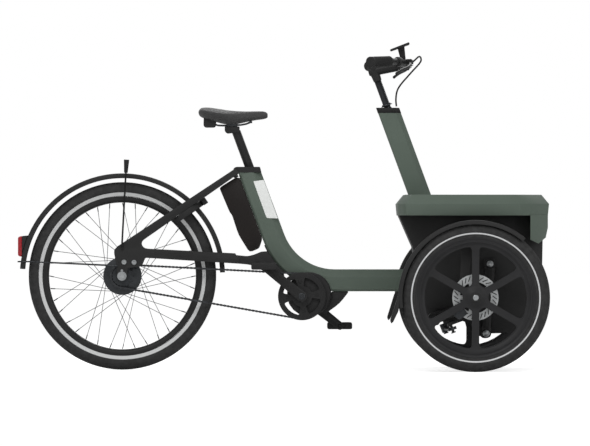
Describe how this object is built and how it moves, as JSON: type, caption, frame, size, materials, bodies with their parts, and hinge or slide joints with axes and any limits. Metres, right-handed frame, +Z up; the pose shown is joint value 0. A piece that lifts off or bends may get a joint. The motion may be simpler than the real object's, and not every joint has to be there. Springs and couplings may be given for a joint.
{
  "type": "cargo tricycle",
  "caption": "Front-loading cargo tricycle: open tub between two steered, sprung wheels, low box-section frame, mid motor, chain drive and a spoked rear wheel.",
  "frame": {"origin": "middle of the overall length and width, on the ground under the three tyres", "axes": "+X forward in the direction of travel, +Y to the rider's left, +Z up"},
  "size_m": [1.8574, 0.782, 1.1479],
  "materials": {
    "green_paint": "satin grey-green powder coat",
    "black_paint": "satin black powder coat",
    "black_plastic": "moulded, lightly textured",
    "dark_shell": "moulded, lightly textured",
    "tyre_rubber": "black rubber with pale reflective ring",
    "grip_rubber": "ribbed",
    "cable_sheath": "smooth sheath",
    "wheel_paint": "satin charcoal paint",
    "bare_steel": "brushed",
    "dark_steel": "black oxide",
    "battery_case": "moulded, brown-black",
    "red_lens": "clear red",
    "saddle_cover": "grained cover over foam"
  },
  "bodies": {
    "frame": {"main_frame": "green_paint", "rear_frame": "black_paint", "seat_collar": "black_plastic", "steering_column": "green_paint", "front_crossbeam": "black_paint", "motor": "black_plastic", "chain": "dark_steel", "rear_axle": "bare_steel", "rear_mudguard": "black_plastic", "mudguard_stay": "dark_steel", "flag_holder": "black_paint", "tail_lamp": "black_plastic", "tail_lens": "red_lens", "ring_lock": "black_plastic", "cargo_tub": "green_paint", "tub_underbody": "dark_shell", "tub_floor": "dark_shell"},
    "battery": {"battery": "battery_case"},
    "saddle": {"seat_post": "black_paint", "saddle_rails": "dark_steel", "saddle": "saddle_cover"},
    "rear_wheel": {"rear_hub": "dark_steel", "rear_rim": "black_paint", "rear_tyre": "tyre_rubber"},
    "rear_sprocket": {"rear_sprocket": "bare_steel"},
    "cranks": {"crank_left": "black_paint", "crank_right": "black_paint", "chainring": "black_paint"},
    "pedal_left": {"pedal_left": "black_plastic"},
    "pedal_right": {"pedal_right": "black_plastic"},
    "lock_shackle": {"lock_shackle": "bare_steel"},
    "steering": {"steering_shaft": "dark_steel", "stem": "black_paint", "handlebar": "black_paint", "grip_left": "grip_rubber", "grip_right": "grip_rubber", "display": "black_plastic", "control_cable": "cable_sheath"},
    "brake_lever_left": {"brake_lever_left": "black_paint"},
    "tie_rod_left": {"tie_rod_left": "dark_steel"},
    "suspension_arm_left": {"suspension_arm_left": "black_paint"},
    "knuckle_left": {"knuckle_left": "black_paint", "brake_caliper_left": "dark_steel", "front_mudguard_left": "black_plastic"},
    "front_wheel_left": {"front_wheel_left": "wheel_paint", "front_tyre_left": "tyre_rubber", "brake_disc_left": "bare_steel"},
    "shock_upper_left": {"shock_upper_left": "black_paint"},
    "shock_lower_left": {"shock_lower_left": "black_paint"},
    "brake_lever_right": {"brake_lever_right": "black_paint"},
    "tie_rod_right": {"tie_rod_right": "dark_steel"},
    "suspension_arm_right": {"suspension_arm_right": "black_paint"},
    "knuckle_right": {"knuckle_right": "black_paint", "brake_caliper_right": "dark_steel", "front_mudguard_right": "black_plastic"},
    "front_wheel_right": {"front_wheel_right": "wheel_paint", "front_tyre_right": "tyre_rubber", "brake_disc_right": "bare_steel"},
    "shock_upper_right": {"shock_upper_right": "black_paint"},
    "shock_lower_right": {"shock_lower_right": "black_paint"}
  },
  "joints": [
    {"name": "battery_slide", "type": "slide", "parent": "frame", "child": "battery", "axis": [0, 1, 0], "range_m": [0, 0.12]},
    {"name": "saddle_height", "type": "slide", "parent": "frame", "child": "saddle", "axis": [-0.3486, 0, 0.9373], "range_m": [-0.03, 0.08]},
    {"name": "rear_wheel_spin", "type": "hinge", "parent": "frame", "child": "rear_wheel", "pos_m": [-0.56125, 0, 0.329], "axis": [0, 1, 0], "continuous": true},
    {"name": "crank_spin", "type": "hinge", "parent": "frame", "child": "cranks", "pos_m": [0.06875, 0, 0.258], "axis": [0, 1, 0], "continuous": true},
    {"name": "sprocket_spin", "type": "hinge", "parent": "frame", "child": "rear_sprocket", "pos_m": [-0.56125, 0, 0.329], "axis": [0, 1, 0], "continuous": true},
    {"name": "lock_turn", "type": "hinge", "parent": "frame", "child": "lock_shackle", "pos_m": [-0.33745, 0, 0.5476], "axis": [-0.5707, 0, 0.8211], "range_deg": [0, 118]},
    {"name": "steering_turn", "type": "hinge", "parent": "frame", "child": "steering", "pos_m": [0.61526, 0, 0.2502], "axis": [-0.3453, 0, 0.9385], "range_deg": [-24, 24]},
    {"name": "pedal_left_spin", "type": "hinge", "parent": "cranks", "child": "pedal_left", "pos_m": [0.20179, 0.128, 0.15217], "axis": [0, 1, 0], "continuous": true},
    {"name": "brake_lever_left_pull", "type": "hinge", "parent": "steering", "child": "brake_lever_left", "pos_m": [0.44884, 0.15, 1.0729], "axis": [0, 0, 1], "range_deg": [0, 16], "stiffness_Nm_per_rad": 2, "springref_deg": -8.59},
    {"name": "tie_rod_left_turn", "type": "hinge", "parent": "steering", "child": "tie_rod_left", "pos_m": [0.56988, 0.025, 0.14186], "axis": [-0.3453, 0, 0.9385], "range_deg": [-24, 24]},
    {"name": "suspension_left", "type": "hinge", "parent": "frame", "child": "suspension_arm_left", "pos_m": [0.52875, 0.178, 0.18], "axis": [0, -1, 0], "range_deg": [-4, 3], "stiffness_Nm_per_rad": 870, "springref_deg": -1.43},
    {"name": "knuckle_left_turn", "type": "hinge", "parent": "suspension_arm_left", "child": "knuckle_left", "pos_m": [0.63375, 0.285, 0.257], "axis": [-0.3453, 0, 0.9385], "range_deg": [-24, 24]},
    {"name": "front_wheel_left_spin", "type": "hinge", "parent": "knuckle_left", "child": "front_wheel_left", "pos_m": [0.66775, 0.36, 0.257], "axis": [0, 1, 0], "continuous": true},
    {"name": "shock_upper_left_turn", "type": "hinge", "parent": "frame", "child": "shock_upper_left", "pos_m": [0.72175, 0.215, 0.373], "axis": [0, -1, 0], "range_deg": [-2, 2]},
    {"name": "shock_lower_left_turn", "type": "hinge", "parent": "suspension_arm_left", "child": "shock_lower_left", "pos_m": [0.70875, 0.215, 0.131], "axis": [0, -1, 0], "range_deg": [-4, 4]},
    {"name": "pedal_right_spin", "type": "hinge", "parent": "cranks", "child": "pedal_right", "pos_m": [-0.06429, -0.128, 0.36383], "axis": [0, 1, 0], "continuous": true},
    {"name": "brake_lever_right_pull", "type": "hinge", "parent": "steering", "child": "brake_lever_right", "pos_m": [0.44884, -0.15, 1.0729], "axis": [0, 0, -1], "range_deg": [0, 16], "stiffness_Nm_per_rad": 2, "springref_deg": -8.59},
    {"name": "tie_rod_right_turn", "type": "hinge", "parent": "steering", "child": "tie_rod_right", "pos_m": [0.56988, -0.025, 0.14186], "axis": [-0.3453, 0, 0.9385], "range_deg": [-24, 24]},
    {"name": "suspension_right", "type": "hinge", "parent": "frame", "child": "suspension_arm_right", "pos_m": [0.52875, -0.178, 0.18], "axis": [0, -1, 0], "range_deg": [-4, 3], "stiffness_Nm_per_rad": 870, "springref_deg": -1.43},
    {"name": "knuckle_right_turn", "type": "hinge", "parent": "suspension_arm_right", "child": "knuckle_right", "pos_m": [0.63375, -0.285, 0.257], "axis": [-0.3453, 0, 0.9385], "range_deg": [-24, 24]},
    {"name": "front_wheel_right_spin", "type": "hinge", "parent": "knuckle_right", "child": "front_wheel_right", "pos_m": [0.66775, -0.36, 0.257], "axis": [0, 1, 0], "continuous": true},
    {"name": "shock_upper_right_turn", "type": "hinge", "parent": "frame", "child": "shock_upper_right", "pos_m": [0.72175, -0.215, 0.373], "axis": [0, -1, 0], "range_deg": [-2, 2]},
    {"name": "shock_lower_right_turn", "type": "hinge", "parent": "suspension_arm_right", "child": "shock_lower_right", "pos_m": [0.70875, -0.215, 0.131], "axis": [0, -1, 0], "range_deg": [-4, 4]}
  ],
  "couplings": [
    {"joint": "sprocket_spin", "follows": "crank_spin", "ratio": 1.95},
    {"joint": "tie_rod_left_turn", "follows": "steering_turn", "ratio": -1},
    {"joint": "knuckle_left_turn", "follows": "steering_turn", "ratio": 1},
    {"joint": "shock_upper_left_turn", "follows": "suspension_left", "ratio": 0.162},
    {"joint": "shock_lower_left_turn", "follows": "suspension_left", "ratio": -0.838},
    {"joint": "tie_rod_right_turn", "follows": "steering_turn", "ratio": -1},
    {"joint": "knuckle_right_turn", "follows": "steering_turn", "ratio": 1},
    {"joint": "shock_upper_right_turn", "follows": "suspension_right", "ratio": 0.162},
    {"joint": "shock_lower_right_turn", "follows": "suspension_right", "ratio": -0.838}
  ]
}
